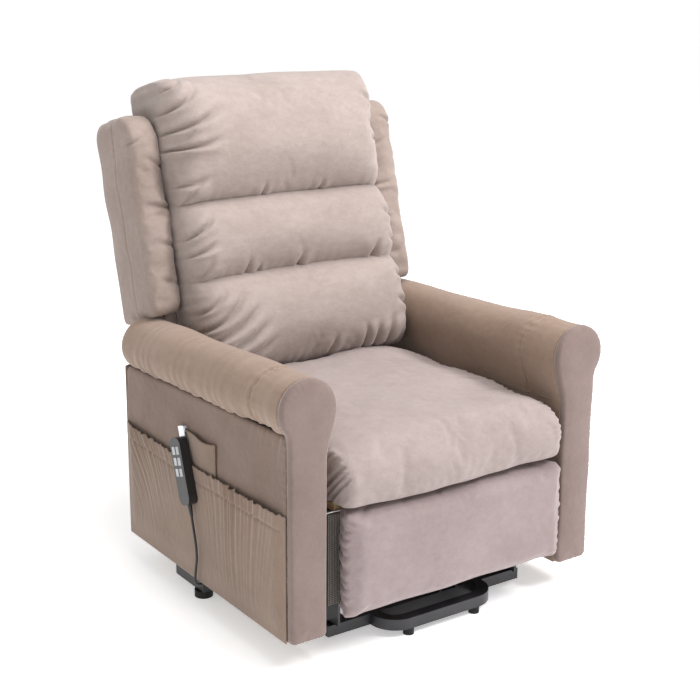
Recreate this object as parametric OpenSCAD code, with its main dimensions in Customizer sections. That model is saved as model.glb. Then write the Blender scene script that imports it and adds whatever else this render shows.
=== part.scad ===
// Lift recliner chair: upholstered body on a link lift, with a reclining back and a folding footrest.
// The chair faces -Y, +X is the sitter's left, and the floor is z = 0.

/* [Arms] */
// Half width over the arms' flat outer sides
arm_out = 400; // [396:1:404]
// Half width between the arms' inner sides
arm_in = 314; // [312:1:316]
// Front face of the arms, forward of the chair's centre
arm_front = 440; // [436:1:444]
// Rear end of the arms, behind the chair's centre
arm_rear = 267; // [262:1:270]
// Height of the lower edge of the side panels
panel_bottom = 65; // [62:1:70]
// Radius of the rolled arm
roll_r = 65; // [62:1:66]
// Distance of the roll's axis from the chair's middle
roll_x = 355; // [353:1:357]
// Height of the roll's axis at the front
roll_z = 551; // [546:1:556]
// Drop of the roll's axis from front to rear
roll_drop = 23; // [15:1:28]
// Thickness of the keyhole front facing
facing_t = 15; // [12:1:18]
// Thickness of an upholstered side panel
panel_t = 12; // [8:1:12]

/* [Seat] */
// Half width of the seat cushion and of the footrest pad
seat_half = 293; // [291:1:304]
// Front face of the seat cushion, forward of the chair's centre
seat_front = 472; // [466:1:474]
// Rear end of the seat cushion
seat_rear = 150; // [140:1:155]
// Height of the seat cushion's underside
seat_bottom = 329; // [329:1:332]
// Height of the seat cushion's top
seat_top = 468; // [455:1:472]
// Lower edge of the closed footrest pad
pad_bottom = 95; // [90:1:100]
// Upper edge of the closed footrest pad
pad_top = 319; // [312:1:320]
// Thickness of the footrest pad
pad_t = 68; // [60:1:70]

/* [Back] */
// Tilt of the back from upright at rest
back_tilt = 15; // [14:0.5:16]
// Position of the recline hinge behind the chair's centre
hinge_y = 200; // [198:1:202]
// Height of the recline hinge
hinge_z = 330; // [328:1:332]
// Half width of the back over the wings
wing_half = 370; // [366:1:372]
// Top of the head pillow, measured up the back from the hinge
back_top = 802; // [790:1:815]

/* [Lift] */
// Width of a lift link
lift_w = 32; // [28:1:34]

/* [Footrest linkage] */
// Spacing of the two pivots on the footrest bracket
foot_gap = 71; // [66:1:74]
// Width of a footrest link
foot_w = 20; // [18:1:21]

/* [Base] */
// Height of the feet
foot_h = 16; // [14:1:16]
// Section of the base tubes
tube = 25; // [22:1:26]
// Half width of the front loop
loop_half = 153; // [145:1:158]

/* [Hidden] */

$fn = 48;
fabric = [0.71, 0.60, 0.53];
fabric_dark = [0.60, 0.50, 0.44];
black_steel = [0.10, 0.10, 0.12];
zinc = [0.70, 0.71, 0.73];
black_plastic = [0.08, 0.08, 0.09];
timber = [0.78, 0.62, 0.42];
black_cloth = [0.07, 0.07, 0.08];

// Clearance between bodies, radial clearance of a running pin, and play of an opened lift pivot
gap = 0.3;
run = 0.05;
open_play = 1.3;

// Pivots of the lift, as [y, z]: the rear links turn on the base at a and carry the carriage at c,
// and the front links turn at b and carry it at d
lift_a = [-300, 110];
lift_c = [180, 110];
lift_b = [-360, 108];
lift_d = [20, 110];

// Pivots of the footrest linkage, as [y, z]: on the side plate p1 (rear links) and p2 (front links),
// on the footrest bracket e, and foot_arm from a side plate pivot to the upper link's pivot
foot_p1 = [-232, 294];
foot_p2 = [-302, 318];
foot_arm = [66, -142];
foot_e = [-371, 289];

tube_z = foot_h;
deck = foot_h + tube;

// Layers of the metalwork, as distances from the chair's middle
lift_plate_x = 240;
lift_plate_t = 6;
rear_link_x = 232;
front_link_x = 248;
lift_link_t = 6;
side_plate_x = 288;
side_plate_t = 4;
foot_layer_1 = 282;
foot_layer_2 = 276;
foot_link_t = 5;

lift_pin_r = 8;
foot_pin_r = 5;
// Step from a pin to its round head, thickness of the head, and side play beside a lift link
head_step = 4;
head_t = 4;
side_play = 1;
eye_pin_r = 6;
plate_pin_r = 6;
// Lugs either side of an actuator's eye
lug_t = 6;
lug_reach = 26;
back_lug_reach = 24;
cross_r = 12;
front_cross = [60, 250];
rear_cross = [120, 150];

foot_x = foot_p2 + foot_arm;
foot_a = foot_p1 + foot_arm;
foot_c = foot_x - [0, foot_gap];
foot_g = foot_e - [0, foot_gap];

// ---- shared shapes ----

// The children lie at x = 0 to t: one copy outside x on the left, its mirror image on the right
module both_sides(x) {
    for (side = [0, 1]) mirror([side, 0, 0]) translate([x, 0, 0]) children();
}

// Round bar or disc along X at [y, z], from x0 to x1
module rod_x(p, r, x0, x1) {
    translate([x0, p[0], p[1]]) rotate([0, 90, 0]) cylinder(r = r, h = x1 - x0);
}

// Box given by its low and high corners
module block(lo, hi) {
    translate(lo) cube(hi - lo);
}

// Outline of a flat bar between p and q with a round eye at each end.
// The bar is narrower than its eyes, w across
module bar(p, q, w) {
    d = q - p;
    bar_w = w - 5;
    translate(p) circle(r = w / 2);
    translate(q) circle(r = w / 2);
    translate(p) rotate(atan2(d[1], d[0])) translate([0, -bar_w / 2]) square([norm(d), bar_w]);
}

// Round hole in an outline
module hole(p, r) {
    translate(p) circle(r = r);
}

// The outline's first axis becomes Y and its second Z; it is extruded along X from x0 to x1
module profile_x(x0, x1) {
    translate([x0, 0, 0]) rotate([90, 0, 90]) linear_extrude(x1 - x0) children();
}

// Outline of a rectangle with rounded corners
module rounded(lo, hi, r) {
    hull() for (y = [lo[0] + r, hi[0] - r], z = [lo[1] + r, hi[1] - r])
        translate([y, z]) circle(r = r, $fn = 24);
}

// Back coordinates: y runs rearward and z up the back, from the recline hinge
module on_back() {
    translate([0, hinge_y, hinge_z]) rotate([-back_tilt, 0, 0]) children();
}

// Tube of radius r along points. Its rings stay square to the run, and aside is never along the run
module swept(points, r, sides, aside) {
    n = len(points);
    function along(i) = let (d = points[min(i + 1, n - 1)] - points[max(i - 1, 0)]) d / norm(d);
    function across(i) = let (c = cross(along(i), aside)) c / norm(c);
    ring_points = [for (i = [0:n - 1], k = [0:sides - 1])
        let (u = across(i), v = cross(u, along(i)), a = 360 * k / sides)
        points[i] + r * (cos(a) * u + sin(a) * v)];
    walls = [for (i = [0:n - 2], k = [0:sides - 1])
        [i * sides + k, i * sides + (k + 1) % sides, (i + 1) * sides + (k + 1) % sides,
            (i + 1) * sides + k]];
    ends = [[for (k = [sides - 1:-1:0]) k], [for (k = [0:sides - 1]) (n - 1) * sides + k]];
    polyhedron(points = ring_points, faces = concat(walls, ends), convexity = 10);
}

// ---- base ----

loop_bend = 60;
loop_front = 430;
cross_front = 366;
rear_bar = 200;
rail_x = 205;
cross_half = 262;

module loop_corner() {
    translate([loop_half - loop_bend, -loop_front + loop_bend, tube_z])
        rotate([0, 0, -90]) rotate_extrude(angle = 90)
            translate([loop_bend - tube, 0]) square([tube, tube]);
}

module base_front_loop() color(black_steel) {
    block([-loop_half + loop_bend, -loop_front, tube_z], [loop_half - loop_bend, -loop_front + tube, deck]);
    loop_corner();
    mirror([1, 0, 0]) loop_corner();
    both_sides(loop_half - tube)
        block([0, -loop_front + loop_bend, tube_z], [tube, -cross_front, deck]);
}

module base_cross_bars() color(black_steel) {
    block([-cross_half, -cross_front, tube_z], [cross_half, -cross_front + tube, deck]);
    block([-cross_half, rear_bar, tube_z], [cross_half, rear_bar + tube, deck]);
}

module base_side_rails() color(black_steel) both_sides(rail_x)
    block([0, -cross_front + tube, tube_z], [tube, rear_bar, deck]);

stub_x = 350;
stub_arm = -6;
stub_rear = 90;
stub_front = 34;

module base_side_stubs() color(black_steel) both_sides(rail_x + tube) {
    block([0, stub_arm, tube_z], [stub_x - rail_x - tube, stub_arm + tube, deck]);
    block([stub_x - rail_x - tube, -stub_front, tube_z], [stub_x - rail_x, stub_rear, deck]);
    translate([stub_x - rail_x - tube / 2, stub_rear, tube_z]) cylinder(r = tube / 2, h = tube);
}

foot_r = 12;
mid_foot_r = 21;
front_foot_x = 90;
mid_foot_y = -14;
rear_foot_x = 240;

module base_feet() color(black_plastic) {
    for (side = [-1, 1]) {
        translate([side * front_foot_x, -loop_front + tube / 2, 0]) cylinder(r = foot_r, h = foot_h);
        translate([side * (stub_x + tube / 2), mid_foot_y, 0]) cylinder(r = mid_foot_r, h = foot_h);
        translate([side * rear_foot_x, rear_bar + tube / 2, 0]) cylinder(r = foot_r, h = foot_h);
    }
}

// Where the lift pins' heads begin, inside the rear links and outside the front links
inner_head = rear_link_x - lift_plate_x - side_play;
outer_head = front_link_x - lift_plate_x + lift_link_t + side_play;

module inner_pin(p, x1) {
    rod_x(p, lift_pin_r, inner_head, x1);
    rod_x(p, lift_pin_r + head_step, inner_head - head_t, inner_head);
}

module outer_pin(p, x0) {
    rod_x(p, lift_pin_r, x0, outer_head);
    rod_x(p, lift_pin_r + head_step, outer_head, outer_head + head_t);
}

module lift_brackets() color(black_steel) {
    both_sides(lift_plate_x) {
        profile_x(0, lift_plate_t) difference() {
            polygon([[-378, deck], [-282, deck], [-282, 127], [-376, 127], [-378, 124]]);
            translate(lift_a) circle(r = lift_pin_r);
            translate(lift_b) circle(r = lift_pin_r);
        }
        inner_pin(lift_a, lift_plate_t);
        outer_pin(lift_b, 0);
    }
    for (x = [motor_x - lug_reach, motor_x + lug_reach - lug_t])
        block([x, -cross_front, deck], [x + lug_t, -cross_front + 40, 92]);
    rod_x(lift_q, eye_pin_r, motor_x - lug_reach, motor_x + lug_reach);
}

// ---- lift links ----

module lift_link(p, q, bore_q) {
    profile_x(0, lift_link_t) difference() {
        bar(p, q, lift_w);
        hole(p, lift_pin_r + run);
        hole(q, bore_q);
    }
}

module rear_lift_links() color(black_steel) both_sides(rear_link_x)
    lift_link(lift_a, lift_c, lift_pin_r + run);

module front_lift_links() color(black_steel) both_sides(front_link_x)
    lift_link(lift_b, lift_d, lift_pin_r + open_play);

// ---- seat carriage ----

module lift_plates() color(black_steel) both_sides(lift_plate_x) {
    difference() {
        profile_x(0, lift_plate_t)
            polygon([[2, 94], [198, 94], [200, 112], [150, 230], [90, 296], [30, 296], [0, 140]]);
        rod_x(front_cross, cross_r, -1, lift_plate_t + 1);
        rod_x(rear_cross, cross_r, -1, lift_plate_t + 1);
    }
    inner_pin(lift_c, 0);
    outer_pin(lift_d, lift_plate_t);
}

module side_plates() color(black_steel) both_sides(side_plate_x) {
    difference() {
        profile_x(0, side_plate_t)
            polygon([[-322, 328], [-322, 296], [-240, 272], [-60, 232], [100, 130], [140, 130],
                [222, 312], [222, 346], [180, 346], [165, 328]]);
        rod_x(front_cross, cross_r, -1, side_plate_t + 1);
        rod_x(rear_cross, cross_r, -1, side_plate_t + 1);
    }
    for (p = [foot_p1, foot_p2, [hinge_y, hinge_z]]) {
        rod_x(p, plate_pin_r, -foot_link_t - 2, 0);
        rod_x(p, plate_pin_r + head_step, side_plate_t, side_plate_t + head_t);
    }
}

tube_wall = 2;

// Round tube along X, the same length each side of the middle
module tube_x(p, r, half) difference() {
    rod_x(p, r, -half, half);
    rod_x(p, r - tube_wall, -half - 1, half + 1);
}

module cross_tubes() color(black_steel) for (p = [front_cross, rear_cross])
    tube_x(p, cross_r, side_plate_x + side_plate_t);

rail_front = -386;
rail_low = 306;
rail_high = 323;
rail_in = 232;
rail_out = 262;
rail_rear = 140;
rail_w = 30;
lug_y = -165;

module seat_side_rails() color(timber) both_sides(rail_in)
    block([0, rail_front, rail_low], [rail_out - rail_in, rail_rear, rail_high]);

module seat_cross_rails() color(timber) {
    for (y = [rail_front, lug_y, rail_rear - rail_w])
        block([-rail_in, y, rail_low], [rail_in, y + rail_w, rail_high]);
    for (x = [-back_motor_x - back_lug_reach, -back_motor_x + back_lug_reach - lug_t])
        block([x, lug_y, back_q[1] - 14], [x + lug_t, lug_y + rail_w, rail_low]);
    rod_x(back_q, eye_pin_r, -back_motor_x - back_lug_reach, -back_motor_x + back_lug_reach);
}

// A sinuous spring: a wire that waves from side to side along its run
spring_wire = 1.6;
spring_rings = 44;
spring_wave = 16;
spring_waves = 5.5;
spring_run = 470;
spring_places = [-160, -54, 54, 160];
function spring_point(i) = let (t = i / (spring_rings - 1))
    [spring_wave * sin(360 * spring_waves * t), rail_front + 20 + spring_run * t,
        rail_high + spring_wire + 0.2];

module seat_springs() color(zinc) for (x = spring_places)
    translate([x, 0, 0])
        swept([for (i = [0:spring_rings - 1]) spring_point(i)], spring_wire, 5, [0, 0, 1]);

seat_r = 50;

module seat_cushion() color(fabric) profile_x(-seat_half, seat_half)
    rounded([-seat_front, seat_bottom], [seat_rear, seat_top], seat_r);

// ---- arms, mirrored for the left (+X) and right (-X) ----

// The upright panels end inside the roll's height
panel_top = 530;
inner_t = 8;

module roll_shape(grow) {
    tilt = atan2(roll_drop, arm_front + arm_rear);
    intersection() {
        translate([roll_x, -arm_front, roll_z]) rotate([-90 - tilt, 0, 0])
            translate([0, 0, -20]) cylinder(r = roll_r + grow, h = arm_front + arm_rear + 60);
        block([0, -arm_front + facing_t, 0], [roll_x + 200, arm_rear, roll_z + 200]);
    }
}

module arm_roll() color(fabric) roll_shape(0);

module arm_facing() color(fabric) rotate([90, 0, 0])
    translate([0, 0, arm_front - facing_t]) linear_extrude(facing_t) {
        translate([roll_x, roll_z]) circle(r = roll_r);
        translate([arm_in, panel_bottom]) square([arm_out - arm_in, roll_z - panel_bottom]);
    }

module arm_outer_panel() color(fabric) difference() {
    block([arm_out - panel_t, -arm_front + facing_t, panel_bottom], [arm_out, arm_rear, panel_top]);
    roll_shape(gap);
}

module arm_inner_panels() color(fabric) for (side = [0, 1]) mirror([side, 0, 0]) difference() {
    block([arm_in, -arm_front + facing_t, panel_bottom], [arm_in + inner_t, arm_rear, panel_top]);
    roll_shape(gap);
}

// An upright board stands between a front post and a rear post
post_t = 30;
post_low = 150;
front_post_top = 476;
board_top = 456;
upright_in = 346;
upright_t = 18;
upright_low = 80;

module arm_boards() color(timber) for (side = [0, 1]) mirror([side, 0, 0]) {
    block([arm_in + inner_t, -arm_front + facing_t, post_low],
        [arm_out - panel_t, -arm_front + facing_t + post_t, front_post_top]);
    block([arm_in + inner_t, arm_rear - post_t, post_low], [arm_out - panel_t, arm_rear, board_top]);
    block([upright_in, -arm_front + facing_t + post_t, upright_low],
        [upright_in + upright_t, arm_rear - post_t, board_top]);
}

// ---- pockets on the right (-X) arm ----

pocket_top = 345;
pocket_skin = 2.5;
pocket_depth = 8.5;
pocket_hem = 4;
small_pocket_low = [-150, 262];
small_pocket_high = [-20, 407];
small_pocket_gap = 2;
small_pocket_t = 2;

module side_pocket() color(fabric_dark) translate([-arm_out, 0, 0]) difference() {
    block([-pocket_depth, -arm_front + facing_t, panel_bottom], [0, arm_rear, pocket_top]);
    block([-pocket_depth + pocket_skin, -arm_front + facing_t + pocket_hem, panel_bottom + pocket_hem + 2],
        [1, arm_rear - pocket_hem, pocket_top + 1]);
}

module handset_pocket() color(fabric_dark)
    block([-arm_out - small_pocket_gap - small_pocket_t, small_pocket_low[0], small_pocket_low[1]],
        [-arm_out - small_pocket_gap, small_pocket_high[0], small_pocket_high[1]]);

// ---- handset: local z runs up its length, -x is the button side ----

handset_tilt = 18;
handset_at = [-431.5, -43, 320];
handset_l = 148;
handset_w = 46;
handset_t = 21;
button_w = 12;
button_l = 17;
button_rows = [46, 22, -2];
button_side = 9;
button_proud = 1.2;
button_sunk = 2.6;
recess = 4;
handset_r = 16;

module on_handset() translate(handset_at) rotate([-handset_tilt, 0, 0]) children();

module handset_outline(w, l, r) hull() for (y = [-1, 1], z = [-1, 1])
    translate([y * (w / 2 - r), z * (l / 2 - r)]) circle(r = r, $fn = 32);

module handset_body() color(black_plastic) on_handset() difference() {
    profile_x(0, handset_t) handset_outline(handset_w, handset_l, handset_r);
    for (i = [0:5]) button_block(i, -1, recess, gap);
}

module button_block(i, x0, x1, grow) {
    side = i % 2 == 0 ? -1 : 1;
    z = button_rows[floor(i / 2)];
    block([x0, side * button_side - button_w / 2 - grow, z - button_l / 2 - grow],
        [x1, side * button_side + button_w / 2 + grow, z + button_l / 2 + grow]);
}

module button(i) color([0.8, 0.82, 0.85]) on_handset() button_block(i, -button_proud, button_sunk, 0);

module handset_clip() color(zinc) on_handset() {
    block([handset_t + 0.2, -13, 50], [handset_t + 1.4, 13, 95.2]);
    block([handset_t + 0.2, -13, 95.2], [31, 13, 96.6]);
    block([29.8, -13, 82], [31, 13, 95.2]);
}

relief_l = 27;
relief_r = 5.5;
relief_tip_r = 3.2;

module handset_strain_relief() color(black_plastic) on_handset()
    translate([handset_t / 2, 0, -handset_l / 2 - relief_l])
        cylinder(r1 = relief_tip_r, r2 = relief_r, h = relief_l);

// The cord leaves the strain relief, bows forward, passes under the side panel,
// runs rearward inside the arm and crosses to the control box
cord_r = 2.75;
cord_route = [[-421, -74.2, 224], [-421.5, -80, 205], [-422, -88, 180], [-421.5, -92, 155], [-420, -90, 130],
    [-418, -82, 107], [-416, -75, 86], [-413, -69, 69], [-404, -64, 57], [-386, -59, 52], [-366, -55, 50],
    [-344, -50, 50],
    [-320, -40, 53], [-305, -20, 60], [-301, 20, 72], [-301, 70, 84], [-300, 120, 98],
    [-296, 165, 116], [-282, 200, 134], [-255, 219, 148], [-215, 226, 160], [-165, 228, 170],
    [-105, 228, 177], [-45, 228, 180], [10, 228, 180], [40, 228, 180]];
cord_steps = 3;

// Point t of the way from q to r on a smooth curve through p, q, r, s
function smooth(p, q, r, s, t) = 0.5 * (2 * q + (r - p) * t + (2 * p - 5 * q + 4 * r - s) * t * t
    + (3 * q - p - 3 * r + s) * t * t * t);
function cord_point(i) = let (n = len(cord_route) - 1, k = min(floor(i / cord_steps), n - 1))
    smooth(cord_route[max(k - 1, 0)], cord_route[k], cord_route[k + 1], cord_route[min(k + 2, n)],
        i / cord_steps - k);

module handset_cord() color(black_plastic)
    swept([for (i = [0:(len(cord_route) - 1) * cord_steps]) cord_point(i)], cord_r, 8, [0.3, 1, 0.2]);

box_low = [40, 206, 145];
box_high = [150, 250, 215];
inlet_depth = 14;

module control_box() color(black_plastic) difference() {
    block(box_low, box_high);
    block([box_high[0] - inlet_depth, box_low[1] + 10, box_low[2] + 23],
        [box_high[0] + 1, box_high[1] - 10, box_high[2] - 31]);
}

rear_panel_t = 10;
rear_panel_top = 272;

module rear_panel() color(fabric)
    block([-arm_in, arm_rear - 5 - rear_panel_t, panel_bottom], [arm_in, arm_rear - 5, rear_panel_top]);

// ---- back ----

// The frame's rails run from frame_low to frame_high; the cloth of the back lies in front of frame_front
frame_in = 246;
frame_front = -20;
frame_low = 24;
frame_high = 720;
frame_w = 30;

module back_side_rails() color(timber) on_back() both_sides(frame_in)
    block([0, frame_front, frame_low], [frame_w, 30, frame_high]);

fork_t = 5;
fork_reach = 13;

module back_cross_rails() color(timber) on_back() {
    for (z = [frame_low, 330, frame_high - frame_w])
        block([-frame_in, frame_front, z], [frame_in, 10, z + frame_w]);
    for (x = [-fork_reach - fork_t, fork_reach]) translate([x - back_motor_x, 0, 0]) {
        block([0, 10, frame_low], [fork_t, 34, frame_low + frame_w]);
        hull() {
            translate([0, 12, frame_low + 6]) cube([fork_t, 20, 2]);
            rotate([back_tilt, 0, 0]) rod_x(back_k - [hinge_y, hinge_z], 11, 0, fork_t);
        }
    }
    rotate([back_tilt, 0, 0]) rod_x(back_k - [hinge_y, hinge_z], eye_pin_r, -back_motor_x - fork_reach,
        -back_motor_x + fork_reach);
}

hinge_r = 16;
hinge_l = 150;

module back_hinge_brackets() color(black_steel) on_back() both_sides(foot_layer_1) difference() {
    profile_x(0, foot_link_t) union() {
        circle(r = hinge_r);
        translate([-hinge_r, 0]) square([2 * hinge_r, hinge_l]);
    }
    rod_x([0, 0], plate_pin_r + run, -1, foot_link_t + 1);
}

web_levels = [120, 210, 420, 510, 600];
web_w = 50;
web_t = 3;

module back_webbing() color([0.2, 0.2, 0.22]) on_back() for (z = web_levels)
    block([-frame_in, frame_front - 3 - web_t, z], [frame_in, frame_front - 3, z + web_w]);

shell_front = 36;
shell_rear = 90;
shell_low = 34;
shell_high = 740;
shell_half = 283;

module back_shell() color(fabric) on_back() {
    profile_x(-shell_half, shell_half) hull() {
        translate([shell_front, shell_low]) square([shell_rear - shell_front - 8, 60]);
        translate([shell_front, shell_high - 40]) square([shell_rear - shell_front - 30, 40]);
        translate([shell_rear - 24, shell_low + 26]) circle(r = 24, $fn = 24);
        translate([shell_rear - 30, shell_high - 34]) circle(r = 30, $fn = 24);
    }
}

// The wing clears the arm's roll in front and hangs a little lower behind the arm's rear end
wing_in = 285;
wing_low = 276;
wing_tail = 250;
wing_rear = 88;

module wing() color(fabric) on_back() profile_x(wing_in, wing_half) {
    hull() {
        translate([-70, wing_low + 24]) circle(r = 24, $fn = 24);
        translate([-50, 690]) circle(r = 40, $fn = 24);
        translate([wing_rear - 38, 690]) circle(r = 38, $fn = 24);
        translate([22, wing_low]) square([wing_rear - 22, 10]);
    }
    translate([26, wing_tail]) square([wing_rear - 26, wing_low - wing_tail + 40]);
}

pillow_half = 282;
pillow_rear = -28;
pillow_r = 66;

module pillow(lo, hi) color(fabric) on_back() profile_x(-pillow_half, pillow_half) rounded(lo, hi, pillow_r);

module head_pillow() pillow([-172, 498], [pillow_rear, back_top]);
module middle_roll() pillow([-182, 314], [pillow_rear, 494]);
module lumbar_pillow() pillow([-196, 128], [pillow_rear, 310]);

// ---- footrest linkage ----

module foot_rivet(p) {
    rod_x(p, foot_pin_r, 0, foot_layer_1 - foot_layer_2 + foot_link_t);
    rod_x(p, foot_pin_r + head_step, -3, 0);
}

module foot_front_links() color(black_steel) both_sides(foot_layer_1)
    profile_x(0, foot_link_t) difference() {
        union() {
            bar(foot_p2, foot_x, foot_w);
            bar(foot_x, foot_c, foot_w);
        }
        hole(foot_p2, plate_pin_r + run);
        hole(foot_x, foot_pin_r + run);
        hole(foot_c, foot_pin_r + run);
    }

drive_r = 10;
drive_down = 60;
drive_at = foot_p2 + drive_down / norm(foot_arm) * foot_arm;

module foot_drive_tube() color(black_steel) tube_x(drive_at, drive_r, foot_layer_1);

module foot_rear_links() color(black_steel) both_sides(foot_layer_1)
    profile_x(0, foot_link_t) difference() {
        bar(foot_p1, foot_a, foot_w);
        hole(foot_p1, plate_pin_r + run);
        hole(foot_a, foot_pin_r + gap);
    }

module foot_upper_links() color(black_steel) both_sides(foot_layer_2) {
    profile_x(0, foot_link_t) {
        bar(foot_a, foot_x, foot_w);
        bar(foot_x, foot_e, foot_w);
    }
    for (p = [foot_a, foot_x, foot_e]) foot_rivet(p);
}

module foot_lower_links() color(black_steel) both_sides(foot_layer_2) {
    profile_x(0, foot_link_t) bar(foot_c, foot_g, foot_w);
    for (p = [foot_c, foot_g]) foot_rivet(p);
}

board_y = -seat_front + pad_t + 2;
board_t = 12;
board_inset = 5;
pad_r = 22;

module footrest_brackets() color(black_steel) both_sides(foot_layer_1) difference() {
    profile_x(0, foot_link_t)
        polygon([[board_y + board_t, foot_g[1] - 20], [foot_g[0] + 12, foot_g[1] - 14],
            [foot_e[0] + 12, foot_e[1] + 12], [board_y + board_t, foot_e[1] + 16]]);
    rod_x(foot_e, foot_pin_r + run, -1, foot_link_t + 1);
    rod_x(foot_g, foot_pin_r + gap, -1, foot_link_t + 1);
}

// A board wrapped in black cloth
module footrest_board() color(black_cloth)
    block([-seat_half + board_inset, board_y, pad_bottom + 14],
        [seat_half - board_inset, board_y + board_t, pad_top - 12]);

module footrest_pad() color(fabric) profile_x(-seat_half, seat_half)
    rounded([-seat_front, pad_bottom], [board_y - 2, pad_top], pad_r);

// ---- actuators ----

motor_x = 60;
back_motor_x = 60;
lift_q = [-340, 80];
back_q = [-150, 222];
back_k = [232, 222];
eye_play = 5;
back_play = 7;

// Linear actuator from p to q in the YZ plane, centred on x; y runs from p to q
module from_to(x, p, q) {
    d = q - p;
    translate([x, p[0], p[1]]) rotate([atan2(d[1], d[0]), 0, 0]) children();
}

module round_y(r, y0, y1) translate([0, y0, 0]) rotate([-90, 0, 0]) cylinder(r = r, h = y1 - y0);

// Housing of an actuator: an eye block, a round motor and a tube that the rod slides in
eye_half = 13;
motor_r = 28;
motor_from = 34;
motor_to = 94;
housing_r = 15;
rod_r = 9.95;

module motor(tube_l) difference() {
    union() {
        round_y(motor_r, motor_from, motor_to);
        round_y(housing_r, motor_to, tube_l);
        block([-eye_half, -eye_half + 1, -eye_half + 1], [eye_half, motor_from, eye_half - 1]);
    }
    rod_x([0, 0], eye_pin_r + run, -eye_half - 1, eye_half + 1);
    round_y(rod_r + run, motor_to - 14, tube_l + 1);
}

module actuator_rod(start, length, eye_bore) {
    eye = eye_bore + 4;
    difference() {
        union() {
            round_y(rod_r, start, length - eye + 3);
            rod_x([length, 0], eye, -eye_half + 2, eye_half - 2);
        }
        rod_x([length, 0], eye_bore, -eye_half, eye_half);
    }
}

module lift_actuator_motor() color(black_plastic) from_to(motor_x, lift_q, front_cross) motor(300);
module lift_actuator_rod() color(zinc) from_to(motor_x, lift_q, front_cross)
    actuator_rod(100, norm(front_cross - lift_q), cross_r + eye_play);
module back_actuator_motor() color(black_plastic) from_to(-back_motor_x, back_q, back_k) motor(250);
module back_actuator_rod() color(zinc) from_to(-back_motor_x, back_q, back_k)
    actuator_rod(172, norm(back_k - back_q), eye_pin_r + back_play);

base_front_loop();
base_cross_bars();
base_side_rails();
base_side_stubs();
base_feet();
lift_brackets();
rear_lift_links();
front_lift_links();
lift_plates();
side_plates();
cross_tubes();
seat_side_rails();
seat_cross_rails();
seat_springs();
seat_cushion();
arm_boards();
arm_outer_panel();  // arm_outer_panel_left
mirror([1, 0, 0]) arm_outer_panel();  // arm_outer_panel_right
arm_inner_panels();
arm_roll();  // arm_roll_left
mirror([1, 0, 0]) arm_roll();  // arm_roll_right
arm_facing();  // arm_facing_left
mirror([1, 0, 0]) arm_facing();  // arm_facing_right
side_pocket();
handset_pocket();
handset_clip();
handset_body();
handset_strain_relief();
handset_cord();
button(0);  // button_1
button(1);  // button_2
button(2);  // button_3
button(3);  // button_4
button(4);  // button_5
button(5);  // button_6
control_box();
rear_panel();
back_side_rails();
back_cross_rails();
back_hinge_brackets();
back_webbing();
back_shell();
wing();  // wing_left
mirror([1, 0, 0]) wing();  // wing_right
head_pillow();
middle_roll();
lumbar_pillow();
foot_front_links();
foot_drive_tube();
foot_rear_links();
foot_upper_links();
foot_lower_links();
footrest_brackets();
footrest_board();
footrest_pad();
lift_actuator_motor();
lift_actuator_rod();
back_actuator_motor();
back_actuator_rod();
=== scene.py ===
"""Looks of a lift recliner chair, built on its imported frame. Metres; the chair faces -Y, +X is its left."""

import math

import bmesh
import bpy
import numpy as np
from mathutils import Matrix, Vector


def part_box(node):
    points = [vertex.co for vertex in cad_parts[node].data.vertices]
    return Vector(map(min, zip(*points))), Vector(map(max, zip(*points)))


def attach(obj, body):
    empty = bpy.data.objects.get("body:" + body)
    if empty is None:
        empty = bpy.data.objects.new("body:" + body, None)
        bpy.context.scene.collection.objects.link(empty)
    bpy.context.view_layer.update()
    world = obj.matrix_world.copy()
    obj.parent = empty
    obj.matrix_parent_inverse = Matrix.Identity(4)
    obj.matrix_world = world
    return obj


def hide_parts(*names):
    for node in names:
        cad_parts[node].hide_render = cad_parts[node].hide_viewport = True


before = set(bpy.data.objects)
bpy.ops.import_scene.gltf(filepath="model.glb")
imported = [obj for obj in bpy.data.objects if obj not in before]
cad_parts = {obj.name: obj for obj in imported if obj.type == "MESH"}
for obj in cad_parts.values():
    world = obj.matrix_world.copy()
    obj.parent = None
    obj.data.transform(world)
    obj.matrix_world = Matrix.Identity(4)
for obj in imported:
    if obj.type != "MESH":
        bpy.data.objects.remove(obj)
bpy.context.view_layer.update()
scene = bpy.context.scene

# ---- camera, floor and light ----

CAMERA_AT = Vector((-1.779, -2.599, 1.411))
CAMERA_AZIMUTH = math.radians(33.8)
CAMERA_ELEVATION = math.radians(15.2)
LIT_POINT = Vector((0, 0, 0.5))
FLOOR_SIZE = 400


def make_camera():
    data = bpy.data.cameras.new("camera")
    data.sensor_width = 36
    data.lens = 72.9
    data.shift_x = 0.0437
    data.shift_y = -0.0243
    camera = bpy.data.objects.new("camera", data)
    ahead = Vector((
        math.sin(CAMERA_AZIMUTH) * math.cos(CAMERA_ELEVATION),
        math.cos(CAMERA_AZIMUTH) * math.cos(CAMERA_ELEVATION),
        -math.sin(CAMERA_ELEVATION),
    ))
    camera.location = CAMERA_AT
    camera.rotation_euler = ahead.to_track_quat("-Z", "Y").to_euler()
    scene.collection.objects.link(camera)
    scene.camera = camera


def area_light(name, at, size, power, colour):
    """A round lamp that looks at LIT_POINT."""
    data = bpy.data.lights.new(name, "AREA")
    data.shape = "DISK"
    data.size = size
    data.energy = power
    data.color = colour
    lamp = bpy.data.objects.new(name, data)
    lamp.location = at
    lamp.rotation_euler = (LIT_POINT - Vector(at)).to_track_quat("-Z", "Y").to_euler()
    scene.collection.objects.link(lamp)


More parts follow.
